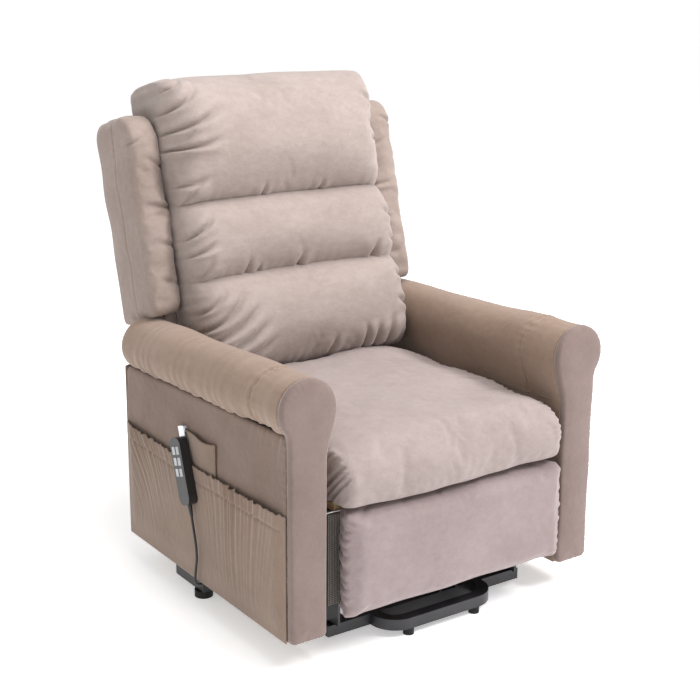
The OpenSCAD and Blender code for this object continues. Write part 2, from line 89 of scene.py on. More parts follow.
def make_studio():
    scene.view_settings.view_transform = "Standard"
    world = bpy.data.worlds.new("studio")
    scene.world = world
    world.use_nodes = True
    background = world.node_tree.nodes["Background"]
    background.inputs["Color"].default_value = (1.0, 1.0, 1.0, 1)
    background.inputs["Strength"].default_value = 0.62
    area_light("key", at=(2.3, -2.6, 3.5), size=1.6, power=150, colour=(1.0, 0.98, 1.0))
    area_light("top", at=(0.1, -0.6, 3.6), size=2.0, power=70, colour=(1.0, 0.99, 1.0))
    area_light("fill", at=(-3.4, -1.6, 1.2), size=2.2, power=8, colour=(1.0, 0.95, 0.88))
    bpy.ops.mesh.primitive_plane_add(size=FLOOR_SIZE, location=(0, 0, 0))
    floor = bpy.context.object
    floor.name = "floor"
    material, tree, shader = new_material("floor_white")
    shader.inputs["Base Color"].default_value = (0.97, 0.97, 0.97, 1)
    shader.inputs["Roughness"].default_value = 0.9
    shader.inputs["Emission Color"].default_value = (1, 1, 1, 1)
    shader.inputs["Emission Strength"].default_value = 0.40
    floor.data.materials.append(material)


# ---- materials ----


def new_material(name):
    material = bpy.data.materials.new(name)
    material.use_nodes = True
    tree = material.node_tree
    return material, tree, tree.nodes["Principled BSDF"]


def noise(tree, scale, detail=3.0, stretch=(1, 1, 1), roughness=0.55):
    """A noise texture in the row frame; stretch makes it finer along an axis."""
    place = tree.nodes.new("ShaderNodeTexCoord")
    mapping = tree.nodes.new("ShaderNodeMapping")
    mapping.inputs["Scale"].default_value = stretch
    texture = tree.nodes.new("ShaderNodeTexNoise")
    texture.inputs["Scale"].default_value = scale
    texture.inputs["Detail"].default_value = detail
    texture.inputs["Roughness"].default_value = roughness
    tree.links.new(place.outputs["Object"], mapping.inputs["Vector"])
    tree.links.new(mapping.outputs["Vector"], texture.inputs["Vector"])
    return texture.outputs["Fac"]


def ramp(tree, value, stops):
    """A colour ramp; stops are (place, colour)."""
    node = tree.nodes.new("ShaderNodeValToRGB")
    elements = node.color_ramp.elements
    for i, (place, colour) in enumerate(stops):
        element = elements[i] if i < 2 else elements.new(place)
        element.position = place
        element.color = (*colour, 1)
    tree.links.new(value, node.inputs["Fac"])
    return node.outputs["Color"]


def blend_colours(tree, kind, share, first, second):
    node = tree.nodes.new("ShaderNodeMix")
    node.data_type = "RGBA"
    node.blend_type = kind
    node.inputs["Factor"].default_value = share
    tree.links.new(first, node.inputs["A"])
    tree.links.new(second, node.inputs["B"])
    return node.outputs["Result"]


def spread(tree, value, low, high):
    """Maps a noise value onto low to high."""
    node = tree.nodes.new("ShaderNodeMapRange")
    node.inputs["From Min"].default_value = 0.3
    node.inputs["From Max"].default_value = 0.7
    node.inputs["To Min"].default_value = low
    node.inputs["To Max"].default_value = high
    tree.links.new(value, node.inputs["Value"])
    return node.outputs["Result"]


def bump(tree, value, depth, under=None):
    node = tree.nodes.new("ShaderNodeBump")
    node.inputs["Strength"].default_value = 1.0
    node.inputs["Distance"].default_value = depth
    tree.links.new(value, node.inputs["Height"])
    if under is not None:
        tree.links.new(under, node.inputs["Normal"])
    return node.outputs["Normal"]


def suede(name, dark, light, nap):
    """Brushed microfibre: soft blotches and fine streaks where the pile lies differently, a speckle and a
    pale sheen. nap stretches the blotches and streaks."""
    material, tree, shader = new_material(name)
    blotch = noise(tree, 6.5, 4, nap, 0.6)
    brushed = noise(tree, 55, 6, nap, 0.75)
    speckle = noise(tree, 900, 2)
    pile = blend_colours(
        tree, "MIX", 0.5,
        ramp(tree, blotch, [(0.3, dark), (0.7, light)]),
        ramp(tree, brushed, [(0.3, dark), (0.7, light)]),
    )
    grain = ramp(tree, speckle, [(0.3, (0.84, 0.82, 0.81)), (0.7, (1.0, 1.0, 1.0))])
    tree.links.new(blend_colours(tree, "MULTIPLY", 1.0, pile, grain), shader.inputs["Base Color"])
    tree.links.new(spread(tree, brushed, 0.78, 0.92), shader.inputs["Roughness"])
    shader.inputs["Specular IOR Level"].default_value = 0.25
    shader.inputs["Sheen Weight"].default_value = 0.42
    shader.inputs["Sheen Roughness"].default_value = 0.42
    shader.inputs["Sheen Tint"].default_value = (1.0, 0.92, 0.9, 1)
    creases = bump(tree, noise(tree, 75, 4, nap, 0.6), 0.0011)
    tree.links.new(bump(tree, speckle, 0.00025, creases), shader.inputs["Normal"])
    return material


def moulded(name, colour, rough, grain=1400, depth=0.00008, specular=0.5):
    """Moulded plastic or rubber with a fine spark-eroded grain."""
    material, tree, shader = new_material(name)
    patch = noise(tree, 40, 3)
    darker = tuple(c * 0.78 for c in colour)
    tree.links.new(ramp(tree, patch, [(0.35, darker), (0.65, colour)]), shader.inputs["Base Color"])
    tree.links.new(spread(tree, noise(tree, 90, 3), rough * 0.85, rough * 1.15), shader.inputs["Roughness"])
    shader.inputs["Specular IOR Level"].default_value = specular
    tree.links.new(bump(tree, noise(tree, grain, 2), depth), shader.inputs["Normal"])
    return material


def powder_coat():
    """Black powder-coated steel: orange peel, with a little dust on it."""
    material, tree, shader = new_material("black_powder_coat")
    dust = noise(tree, 18, 5)
    colour = ramp(tree, dust, [(0.4, (0.012, 0.012, 0.015)), (0.75, (0.032, 0.031, 0.036))])
    tree.links.new(colour, shader.inputs["Base Color"])
    tree.links.new(spread(tree, dust, 0.34, 0.5), shader.inputs["Roughness"])
    shader.inputs["Specular IOR Level"].default_value = 0.55
    tree.links.new(bump(tree, noise(tree, 420, 2), 0.00012), shader.inputs["Normal"])
    return material


def zinc_plate():
    """Bright zinc plating with faint bluish and yellow clouds."""
    material, tree, shader = new_material("bright_zinc_plate")
    cloud = noise(tree, 70, 4)
    bluish, grey, yellow = (0.62, 0.66, 0.72), (0.8, 0.8, 0.8), (0.78, 0.74, 0.62)
    colour = ramp(tree, cloud, [(0.35, bluish), (0.6, grey), (0.8, yellow)])
    tree.links.new(colour, shader.inputs["Base Color"])
    shader.inputs["Metallic"].default_value = 1.0
    tree.links.new(spread(tree, cloud, 0.22, 0.38), shader.inputs["Roughness"])
    tree.links.new(bump(tree, noise(tree, 650, 2, (1, 1, 6)), 0.00005), shader.inputs["Normal"])
    return material


def pine():
    """Planed softwood: stretched growth rings and pores."""
    material, tree, shader = new_material("planed_pine")
    rings = noise(tree, 9, 6, (1, 9, 9), 0.6)
    pores = noise(tree, 160, 3, (1, 12, 12))
    dark, middling, light = (0.50, 0.32, 0.17), (0.68, 0.49, 0.28), (0.76, 0.58, 0.36)
    wood = ramp(tree, rings, [(0.35, dark), (0.5, middling), (0.7, light)])
    fine = ramp(tree, pores, [(0.3, (0.8, 0.75, 0.7)), (0.6, (1, 1, 1))])
    tree.links.new(blend_colours(tree, "MULTIPLY", 0.7, wood, fine), shader.inputs["Base Color"])
    tree.links.new(spread(tree, rings, 0.55, 0.72), shader.inputs["Roughness"])
    tree.links.new(bump(tree, pores, 0.0003), shader.inputs["Normal"])
    return material


def woven(name, dark, light, pitch):
    """A plain weave: two crossed sets of yarns."""
    material, tree, shader = new_material(name)
    place = tree.nodes.new("ShaderNodeTexCoord")
    yarns = []
    for direction in ("X", "Z"):
        wave = tree.nodes.new("ShaderNodeTexWave")
        wave.bands_direction = direction
        wave.inputs["Scale"].default_value = 0.31 / pitch
        wave.inputs["Distortion"].default_value = 0.6
        tree.links.new(place.outputs["Object"], wave.inputs["Vector"])
        yarns.append(wave.outputs["Color"])
    weave = blend_colours(tree, "MULTIPLY", 0.8, *yarns)
    tree.links.new(ramp(tree, weave, [(0.1, dark), (0.8, light)]), shader.inputs["Base Color"])
    tree.links.new(spread(tree, noise(tree, 60, 3), 0.8, 0.95), shader.inputs["Roughness"])
    shader.inputs["Sheen Weight"].default_value = 0.2
    tree.links.new(bump(tree, weave, pitch * 0.2), shader.inputs["Normal"])
    return material


make_camera()
make_studio()

# One microsuede in toned copies. The seat and back carry its lit tone. The footrest, wings, arms, facings and
# panels get darker, browner copies: painted shade of faces turned from the key light, where the sheen falls
# off.
SEAT_SUEDE = suede("suede_seat", (0.295, 0.241, 0.226), (0.415, 0.352, 0.336), (1, 0.8, 1.3))
SHADED_PAD_SUEDE = suede("suede_footrest_painted_shade", (0.262, 0.208, 0.203), (0.362, 0.300, 0.300), (1, 0.8, 1.3))
BACK_SUEDE = suede("suede_back", (0.302, 0.246, 0.222), (0.432, 0.368, 0.338), (0.8, 1, 1.2))
SHADED_WING_SUEDE = suede("suede_wings_painted_shade", (0.258, 0.200, 0.170), (0.372, 0.305, 0.268), (0.8, 1, 1.2))
SHADED_ARM_SUEDE = suede("suede_arms_painted_shade", (0.245, 0.170, 0.122), (0.335, 0.245, 0.188), (1, 0.8, 1))
SHADED_FACING_SUEDE = suede("suede_facings_painted_shade", (0.195, 0.142, 0.124), (0.26, 0.198, 0.18), (1, 0.8, 1))
SHADED_PANEL_SUEDE = suede("suede_panels_painted_shade", (0.170, 0.118, 0.090), (0.245, 0.175, 0.138), (1, 0.8, 1))
# The pocket cloth is darker and browner than the seat. This is partly the pocket's own darker suede and
# partly painted shade of the arm's outer side.
POCKET_CLOTH = suede("suede_pocket", (0.195, 0.137, 0.102), (0.285, 0.208, 0.16), (1, 1.2, 0.8))
SEAM_THREAD = woven("seam_thread", (0.10, 0.065, 0.05), (0.20, 0.14, 0.11), 0.0008)
STEEL = powder_coat()
ZINC = zinc_plate()
PINE = pine()
WEB = woven("elastic_webbing", (0.05, 0.045, 0.04), (0.30, 0.27, 0.24), 0.004)
PLASTIC = moulded("black_plastic", (0.014, 0.014, 0.016), 0.32)
RUBBER = moulded("black_rubber", (0.012, 0.012, 0.012), 0.62, 500, 0.0002, 0.3)
BUTTON = moulded("button_rubber", (0.50, 0.51, 0.53), 0.5)
CORD_SKIN = moulded("cord_skin", (0.012, 0.012, 0.013), 0.42, 900, 0.0001)

# ---- the handset's cord ----

CORD_RADIUS = 0.00275
CORD_ROUTE = [
    (-421, -74.2, 224), (-421.5, -80, 205), (-422, -88, 180), (-421.5, -92, 155), (-420, -90, 130),
    (-418, -82, 107), (-416, -75, 86), (-413, -69, 69), (-404, -64, 57), (-386, -59, 52),
    (-366, -55, 50), (-344, -50, 50), (-320, -40, 53), (-305, -20, 60), (-301, 20, 72),
    (-301, 70, 84), (-300, 120, 98), (-296, 165, 116), (-282, 200, 134), (-255, 219, 148),
    (-215, 226, 160), (-165, 228, 170), (-105, 228, 177), (-45, 228, 180), (10, 228, 180), (40, 228, 180),
]


def smooth_route(points, steps):
    """A Catmull-Rom curve through the points, in metres."""
    p = np.array(points, float) * 0.001
    p = np.vstack([2 * p[0] - p[1], p, 2 * p[-1] - p[-2]])
    out = []
    for i in range(1, len(p) - 2):
        for k in range(steps):
            t = k / steps
            out.append(0.5 * (
                2 * p[i] + (p[i + 1] - p[i - 1]) * t
                + (2 * p[i - 1] - 5 * p[i] + 4 * p[i + 1] - p[i + 2]) * t * t
                + (3 * p[i] - p[i - 1] - 3 * p[i + 1] + p[i + 2]) * t ** 3
            ))
    out.append(p[-2])
    return np.array(out)


def tube_curve(name, points, radius):
    data = bpy.data.curves.new(name, "CURVE")
    data.dimensions = "3D"
    data.bevel_depth = radius
    data.bevel_resolution = 4
    data.use_fill_caps = True
    spline = data.splines.new("POLY")
    spline.points.add(len(points) - 1)
    spline.points.foreach_set("co", np.hstack([points, np.ones((len(points), 1))]).ravel())
    obj = bpy.data.objects.new(name, data)
    scene.collection.objects.link(obj)
    return obj


def make_cord():
    route = smooth_route(CORD_ROUTE, 8)
    cord = tube_curve("handset_lead", route, CORD_RADIUS)
    cord.data.materials.append(CORD_SKIN)
    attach(cord, "carriage")
    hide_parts("handset_cord")


make_cord()

# ---- mesh helpers ----


def new_piece(name, points, faces, material):
    mesh = bpy.data.meshes.new(name)
    mesh.from_pydata(points.tolist(), [], faces)
    mesh.update()
    mesh.polygons.foreach_set("use_smooth", [True] * len(mesh.polygons))
    mesh.materials.append(material)
    obj = bpy.data.objects.new(name, mesh)
    scene.collection.objects.link(obj)
    return obj


def from_bmesh(name, mesh, material):
    data = bpy.data.meshes.new(name)
    mesh.to_mesh(data)
    mesh.free()
    data.materials.append(material)
    obj = bpy.data.objects.new(name, data)
    scene.collection.objects.link(obj)
    return obj


def sided(stem, side):
    """The name of the left or right piece. side is 1 on the left and -1 on the right."""
    return stem + ("_left" if side > 0 else "_right")


def box_on(side, low, high):
    """A left-hand box, or its mirror image on the right."""
    return (low, high) if side > 0 else ((-high[0], *low[1:]), (-low[0], *high[1:]))


def points_of(obj):
    co = np.empty(len(obj.data.vertices) * 3)
    obj.data.vertices.foreach_get("co", co)
    return co.reshape(-1, 3)


def normals_of(obj):
    n = np.empty(len(obj.data.vertices) * 3)
    obj.data.update()
    obj.data.vertex_normals.foreach_get("vector", n)
    return n.reshape(-1, 3)


def set_points(obj, co):
    obj.data.vertices.foreach_set("co", np.ascontiguousarray(co, float).ravel())
    obj.data.update()


def step_up(x):
    """0 below 0, 1 above 1, and smooth between."""
    x = np.clip(x, 0, 1)
    return x * x * (3 - 2 * x)


def waves(points, length, seed):
    """A smooth random field of about unit size whose bumps are about length apart."""
    rng = np.random.default_rng(seed)
    total = np.zeros(len(points))
    for _ in range(7):
        direction = rng.normal(size=3)
        direction /= np.linalg.norm(direction)
        turn = 2 * math.pi / (length * rng.uniform(0.7, 1.5))
        total += np.sin(points @ direction * turn + rng.uniform(0, 2 * math.pi))
    return total / 2.2


def box_grid(nx, ny, nz):
    """A closed grid of quads on the cube from -1 to 1."""
    index, points, faces = {}, [], []

    def at(i, j, k):
        if (i, j, k) not in index:
            index[i, j, k] = len(points)
            points.append((2 * i / nx - 1, 2 * j / ny - 1, 2 * k / nz - 1))
        return index[i, j, k]

    for i in range(nx):
        for j in range(ny):
            faces.append((at(i, j, 0), at(i, j + 1, 0), at(i + 1, j + 1, 0), at(i + 1, j, 0)))
            faces.append((at(i, j, nz), at(i + 1, j, nz), at(i + 1, j + 1, nz), at(i, j + 1, nz)))
        for k in range(nz):
            faces.append((at(i, 0, k), at(i + 1, 0, k), at(i + 1, 0, k + 1), at(i, 0, k + 1)))
            faces.append((at(i, ny, k), at(i, ny, k + 1), at(i + 1, ny, k + 1), at(i + 1, ny, k)))
    for j in range(ny):
        for k in range(nz):
            faces.append((at(0, j, k), at(0, j, k + 1), at(0, j + 1, k + 1), at(0, j + 1, k)))
            faces.append((at(nx, j, k), at(nx, j + 1, k), at(nx, j + 1, k + 1), at(nx, j, k + 1)))
    return np.array(points), faces


def round_profile(b, c, hb, hc, radii):
    """Maps the square's points onto a rectangle of half sizes hb, hc with a radius at each corner.
    radii are for the corners (low b, low c), (low b, high c), (high b, low c), (high b, high c)."""
    s = np.maximum(np.maximum(abs(b), abs(c)), 1e-9)
    qb, qc = b / s * hb, c / s * hc
    r = np.where(b < 0, np.where(c < 0, radii[0], radii[1]), np.where(c < 0, radii[2], radii[3]))
    ib = np.clip(qb, -(hb - r), hb - r)
    ic = np.clip(qc, -(hc - r), hc - r)
    db, dc = qb - ib, qc - ic
    n = np.maximum(np.hypot(db, dc), 1e-9)
    return s * (ib + r * db / n), s * (ic + r * dc / n)


def stuffed(name, low, high, radii, material, edge=0.0, bulge=0.0, step=0.007):
    """A pad that runs along X, with a cap at each end, inside the box from low to high.
    radii round its section, edge rounds the caps' rims, bulge swells the caps.
    Returns the piece and its grid coordinates."""
    low, high = np.array(low), np.array(high)
    half, middle = (high - low) / 2, (high + low) / 2
    counts = [max(4, int(round(2 * h / step))) for h in half]
    grid, faces = box_grid(*counts)
    a, b, c = grid.T
    y, z = round_profile(b, c, half[1], half[2], radii)
    flat = half[0] - bulge
    x = a * flat
    past = np.maximum(abs(x) - (flat - edge), 0)
    inset = edge - np.sqrt(np.maximum(edge ** 2 - past ** 2, 0))
    y = y * (1 - inset / half[1])
    z = z * (1 - inset / half[2])
    s = np.maximum(abs(b), abs(c))
    cap = abs(a) > 1 - 1e-6
    x = np.where(cap, np.sign(a) * (flat + bulge * (1 - s ** 2.5)), x)
    obj = new_piece(name, np.column_stack([x, y, z]) + middle, faces, material)
    return obj, grid


def round_ends(obj, half, radius, share):
    """Turns a pad's front face rearward near both of its ends, seen from above. share is how far each point
    follows the turn."""
    co = points_of(obj)
    turn = np.clip(abs(co[:, 0]) - (half - radius), 0, radius)
    co[:, 1] += share * (radius - np.sqrt(radius ** 2 - turn ** 2))
    set_points(obj, co)


def rim(grid):
    """The seam lines round the caps."""
    a, b, c = abs(grid).T
    return (a > 1 - 1e-6) & (np.maximum(b, c) > 1 - 1e-6)


def inflate(jobs, frames=20):
    """Swells stuffed covers together with Cloth.
    A job is (piece, pinned points, pressure, slack, farthest move)."""
    for obj, pinned, pressure, slack, _ in jobs:
        group = obj.vertex_groups.new(name="sewn")
        group.add([int(i) for i in np.flatnonzero(pinned)], 1.0, "REPLACE")
        settings = obj.modifiers.new("cover", "CLOTH").settings
        settings.quality = 5
        settings.mass = 0.3
        settings.tension_stiffness = settings.compression_stiffness = 15
        settings.shear_stiffness = 8
        settings.bending_stiffness = 0.6
        settings.air_damping = 4
        settings.use_pressure = True
        settings.uniform_pressure_force = pressure
        settings.shrink_min = -slack
        settings.effector_weights.gravity = 0
        settings.vertex_group_mass = "sewn"
    for f in range(1, frames + 1):
        scene.frame_set(f)
    graph = bpy.context.evaluated_depsgraph_get()
    swollen = []
    for obj, *_ in jobs:
        shape = obj.evaluated_get(graph).to_mesh()
        co = np.empty(len(shape.vertices) * 3)
        shape.vertices.foreach_get("co", co)
        swollen.append(co.reshape(-1, 3))
        obj.evaluated_get(graph).to_mesh_clear()
    for (obj, _, _, _, farthest), co in zip(jobs, swollen):
        rest = points_of(obj)
        move = co - rest
        size = np.maximum(np.linalg.norm(move, axis=1, keepdims=True), 1e-9)
        set_points(obj, rest + move * np.minimum(1, farthest / size))
        obj.modifiers.clear()
        obj.vertex_groups.clear()
    scene.frame_set(1)


def finer(obj):
    """One round of subdivision, applied."""
    modifier = obj.modifiers.new("finer", "SUBSURF")
    modifier.levels = modifier.render_levels = 1
    graph = bpy.context.evaluated_depsgraph_get()
    mesh = bpy.data.meshes.new_from_object(obj.evaluated_get(graph))
    obj.modifiers.clear()
    obj.data = mesh


def fold(obj, facing, folds):
    """Presses folds into the side of a piece that looks along facing.
    A fold is (x0, z0, x1, z1, depth, width, bend): it starts at a seam and dies away inward."""
    co, n = points_of(obj), normals_of(obj)
    mask = step_up((n @ np.array(facing) + 0.1) / 0.5)
    move = np.zeros(len(co))
    for x0, z0, x1, z1, depth, width, bend in folds:
        run = np.array([x1 - x0, z1 - z0])
        length = np.hypot(*run)
        d = co[:, [0, 2]] - (x0, z0)
        along = d @ run / length ** 2
        across = (d[:, 0] * run[1] - d[:, 1] * run[0]) / length - bend * 4 * along * (1 - along)
        reach = step_up((along + 0.25) / 0.3) * (1 - step_up((along - 0.45) / 0.6))
        wide = width * (0.7 + 0.8 * np.clip(along, 0, 1))
        valley = np.exp(-(across / wide) ** 2)
        lip = np.exp(-((across - 2.1 * wide) / (2 * wide)) ** 2)
        back = np.exp(-((across + 2.4 * wide) / (2.4 * wide)) ** 2)
        move += depth * reach * (0.55 * lip + 0.35 * back - valley)
    set_points(obj, co + n * (move * mask)[:, None])


def swell(obj, move):
    """Moves the points along their normals."""
    set_points(obj, points_of(obj) + normals_of(obj) * move[:, None])


def settle(obj, body, nodes):
    """Hands a padded piece to the frame."""
    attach(obj, body)
    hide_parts(*nodes)


def gathers(along, off, pitch, reach, seed):
    """Small uneven pleats that stand square to a seam.
    along runs on the seam, off is the distance from it."""
    rng = np.random.default_rng(seed)
    shifts = rng.uniform(0, 2 * math.pi, 3)
    turn = 2 * math.pi / pitch
    pleats = (
        np.sin(along * turn + 1.5 * np.sin(along * turn * 0.23 + shifts[0]) + shifts[1])
        + 0.6 * np.sin(along * turn * 0.57 + shifts[2])
    )
    return pleats * np.exp(-np.maximum(off, 0) / reach)


# ---- the back: its own frame has y rearward and z up the back, from the recline hinge ----

BACK_TILT = math.radians(-15)
HINGE = Vector((0, 0.200, 0.330))
BACK = Matrix.Translation(HINGE) @ Matrix.Rotation(BACK_TILT, 4, "X")

TIERS = {
    "head_pillow": ((-0.282, -0.156, 0.496), (0.282, -0.028, 0.794), (0.056, 0.060, 0.02, 0.030)),
    "middle_roll": ((-0.283, -0.160, 0.308), (0.283, -0.028, 0.512), (0.058, 0.062, 0.02, 0.03)),
    "lumbar_pillow": ((-0.283, -0.172, 0.108), (0.283, -0.028, 0.344), (0.058, 0.068, 0.02, 0.03)),
}
TIER_CROWN = 0.020
EAR_DROP = 0.008
FOLD_DEPTH = 1.6
TIER_ARCH = {"head_pillow": 0.008, "middle_roll": 0.018, "lumbar_pillow": 0.0}
TIER_TURN = 0.062
TIER_FOLDS = {
    "head_pillow": [
        (-0.270, 0.765, -0.222, 0.800, 0.006, 0.005, 0.004),
        (-0.277, 0.715, -0.205, 0.775, 0.008, 0.006, 0.008),
        (-0.280, 0.668, -0.160, 0.716, 0.010, 0.006, 0.008),
        (-0.280, 0.628, -0.165, 0.646, 0.009, 0.005, 0.008),
        (-0.276, 0.545, -0.205, 0.556, 0.007, 0.006, 0.004),
        (-0.262, 0.512, -0.225, 0.545, 0.005, 0.005, -0.003),
        (0.279, 0.700, 0.225, 0.725, 0.005, 0.005, 0.003),
        (0.279, 0.610, 0.235, 0.618, 0.004, 0.005, 0.003),
        (-0.060, 0.500, -0.058, 0.540, 0.004, 0.005, 0.002),
        (0.100, 0.500, 0.106, 0.532, 0.003, 0.005, 0.002),
    ],
    "middle_roll": [
        (-0.282, 0.424, -0.215, 0.480, 0.008, 0.005, 0.006),
        (-0.280, 0.385, -0.222, 0.412, 0.008, 0.005, 0.004),
        (-0.262, 0.335, -0.235, 0.375, 0.005, 0.006, 0.003),
        (-0.150, 0.315, -0.140, 0.372, 0.005, 0.005, 0.003),
        (-0.112, 0.315, -0.108, 0.352, 0.004, 0.004, 0.001),
        (0.004, 0.315, 0.012, 0.372, 0.005, 0.006, -0.003),
        (0.205, 0.315, 0.225, 0.372, 0.006, 0.007, -0.003),
        (0.282, 0.420, 0.235, 0.440, 0.005, 0.005, 0.003),
        (0.282, 0.360, 0.245, 0.372, 0.004, 0.005, 0.003),
    ],
    "lumbar_pillow": [
        (-0.272, 0.215, -0.170, 0.300, 0.009, 0.006, 0.010),
        (-0.262, 0.185, -0.130, 0.268, 0.008, 0.006, 0.008),
        (-0.230, 0.160, -0.120, 0.222, 0.008, 0.006, 0.006),
        (-0.200, 0.135, -0.105, 0.180, 0.006, 0.006, 0.004),
        (-0.275, 0.255, -0.215, 0.306, 0.006, 0.005, 0.005),
        (0.050, 0.118, 0.056, 0.165, 0.004, 0.006, 0.002),
        (0.145, 0.118, 0.140, 0.180, 0.006, 0.006, 0.003),
        (0.178, 0.118, 0.182, 0.176, 0.005, 0.006, -0.002),
        (0.215, 0.118, 0.226, 0.190, 0.006, 0.007, -0.003),
        (0.280, 0.200, 0.235, 0.222, 0.005, 0.005, 0.003),
        (0.280, 0.270, 0.245, 0.285, 0.004, 0.005, 0.003),
    ],
}
WING = ((0.285, -0.094, 0.276), (0.370, 0.088, 0.722))
SHELL = ((-0.283, 0.030, 0.034), (0.283, 0.090, 0.740))


def start_tier(name):
    low, high, radii = TIERS[name]
    obj, grid = stuffed(name + "_cover", low, high, radii, BACK_SUEDE, bulge=0.004)
    co = points_of(obj)
    up = np.clip((co[:, 2] - low[2]) / (high[2] - low[2]), 0, 1)
    front = np.clip((high[1] - co[:, 1]) / (high[1] - low[1]), 0, 1)
    across = abs(co[:, 0]) / high[0]
    co[:, 1] -= TIER_CROWN * front * np.sin(math.pi * up ** 0.8)
    co[:, 2] += TIER_ARCH[name] * (1 - across ** 2) * (1 - up) ** 2
    ear = np.clip((across - 0.8) / 0.2, 0, 1)
    co[:, 2] -= EAR_DROP * front * ear ** 2 * (1 - up) ** 3
    set_points(obj, co)
    round_ends(obj, high[0] + 0.001, TIER_TURN, front * 0.9)
    if name == "head_pillow":
        drape_over_top(obj, grid)
    return obj, grid[:, 1] > 1 - 1e-6


def drape_over_top(obj, grid):
    """The head pillow's top runs rearward over the frame, to the outer cover. It starts lower on the caps."""
    overhang = 0.078
    co = points_of(obj)
    rearward = np.clip((grid[:, 1] + 0.6) / 1.6, 0, 1)
    cap = abs(grid[:, 0]) > 1 - 1e-6
    start, run = np.where(cap, 0.670, 0.742), np.where(cap, 0.07, 0.014)
    co[:, 1] += overhang * rearward * step_up((co[:, 2] - start) / run)
    set_points(obj, co)


def finish_tier(name, obj):
    low, high, _ = TIERS[name]
    finer(obj)
    co = points_of(obj)
    off = high[0] - abs(co[:, 0])
    height = co[:, 2]
    move = 0.0006 * gathers(height, off, 0.031, 0.03, len(name))
    move += 0.0010 * waves(co, 0.21, len(name) + 3)
    bottom = co[:, 2] - low[2]
    move += 0.0007 * gathers(co[:, 0], bottom, 0.034, 0.03, len(name) + 7) * (co[:, 1] < -0.09)
    swell(obj, move)
    creases = [(*ends, FOLD_DEPTH * depth, width, bend) for *ends, depth, width, bend in TIER_FOLDS[name]]
    fold(obj, (0, -1, 0.2), creases)
    obj.data.transform(BACK)
    settle(obj, "back", [name])


def start_wing(side):
    """A wing, with its bottom drawn down below its box, farther at the tail than in front."""
    low, high = box_on(side, *WING)
    obj, grid = stuffed(
        sided("wing", side) + "_cover", low, high, (0.02, 0.062, 0.006, 0.034), SHADED_WING_SUEDE,
        edge=0.016, bulge=0.004, step=0.0065,
    )
    front_drop, tail_drop = 0.012, 0.014
    co = points_of(obj)
    bottom = 1 - step_up((co[:, 2] - low[2]) / 0.1)
    co[:, 2] -= bottom * (front_drop + tail_drop * step_up((co[:, 1] - 0.004) / 0.024))
    set_points(obj, co)
    outer = grid[:, 0] * side > 1 - 1e-6
    return obj, outer | (grid[:, 1] > 0.4)


def finish_wing(side, obj):
    inner_x, outer_x = WING[0][0], WING[1][0]
    finer(obj)
    co, n = points_of(obj), normals_of(obj)
    padded_part = 1 - step_up((co[:, 1] + 0.02) / 0.03)
    inner = (outer_x - abs(co[:, 0])) / (outer_x - inner_x)
    wrinkle = gathers(co[:, 2] + 0.15 * co[:, 1], 0.05 * (1 - inner), 0.047, 0.05, 11 + side)
    move = (0.0006 * wrinkle + 0.0012 * waves(co, 0.09, 15 + side)) * padded_part
    seam = np.exp(-((co[:, 1] + 0.012) / 0.003) ** 2) * (n[:, 0] * side > 0.3)
    move -= 0.0025 * seam
    move += 0.0014 * waves(co, 0.12, 31 + side)
    swell(obj, move)
    folds = [
        (side * 0.290, 0.505, side * 0.352, 0.512, 0.006, 0.005, 0.002),
        (side * 0.290, 0.600, side * 0.345, 0.622, 0.004, 0.005, 0.002),
        (side * 0.290, 0.418, side * 0.340, 0.424, 0.004, 0.005, 0.002),
        (side * 0.362, 0.655, side * 0.318, 0.676, 0.005, 0.004, 0.003),
        (side * 0.290, 0.330, side * 0.345, 0.340, 0.004, 0.005, 0.002),
    ]
    fold(obj, (0, -1, 0.1), folds)
    obj.data.transform(BACK)
    settle(obj, "back", [sided("wing", side)])


def make_shell():
    """The upholstered outside of the back, with rounded edges."""
    low, high = SHELL
    radii = (0.01, 0.02, 0.02, 0.045)
    obj, _ = stuffed("back_outer_cover", low, high, radii, SHADED_PANEL_SUEDE, edge=0.014, step=0.009)
    finer(obj)
    co, n = points_of(obj), normals_of(obj)
    rear = n[:, 1] > 0.6
    across = 1 - (co[:, 0] / high[0]) ** 2
    up = 1 - ((co[:, 2] - 0.387) / 0.353) ** 2
    move = np.where(rear, 0.006 * across * np.clip(up, 0, 1), 0) + 0.0013 * waves(co, 0.19, 5)
    edge_off = np.minimum(high[0] - abs(co[:, 0]), high[2] - co[:, 2])
    move += np.where(rear, 0.0008 * gathers(co[:, 0] + co[:, 2], edge_off, 0.03, 0.035, 8), 0)
    swell(obj, move)
    obj.data.transform(BACK)
    settle(obj, "back", ["back_shell"])


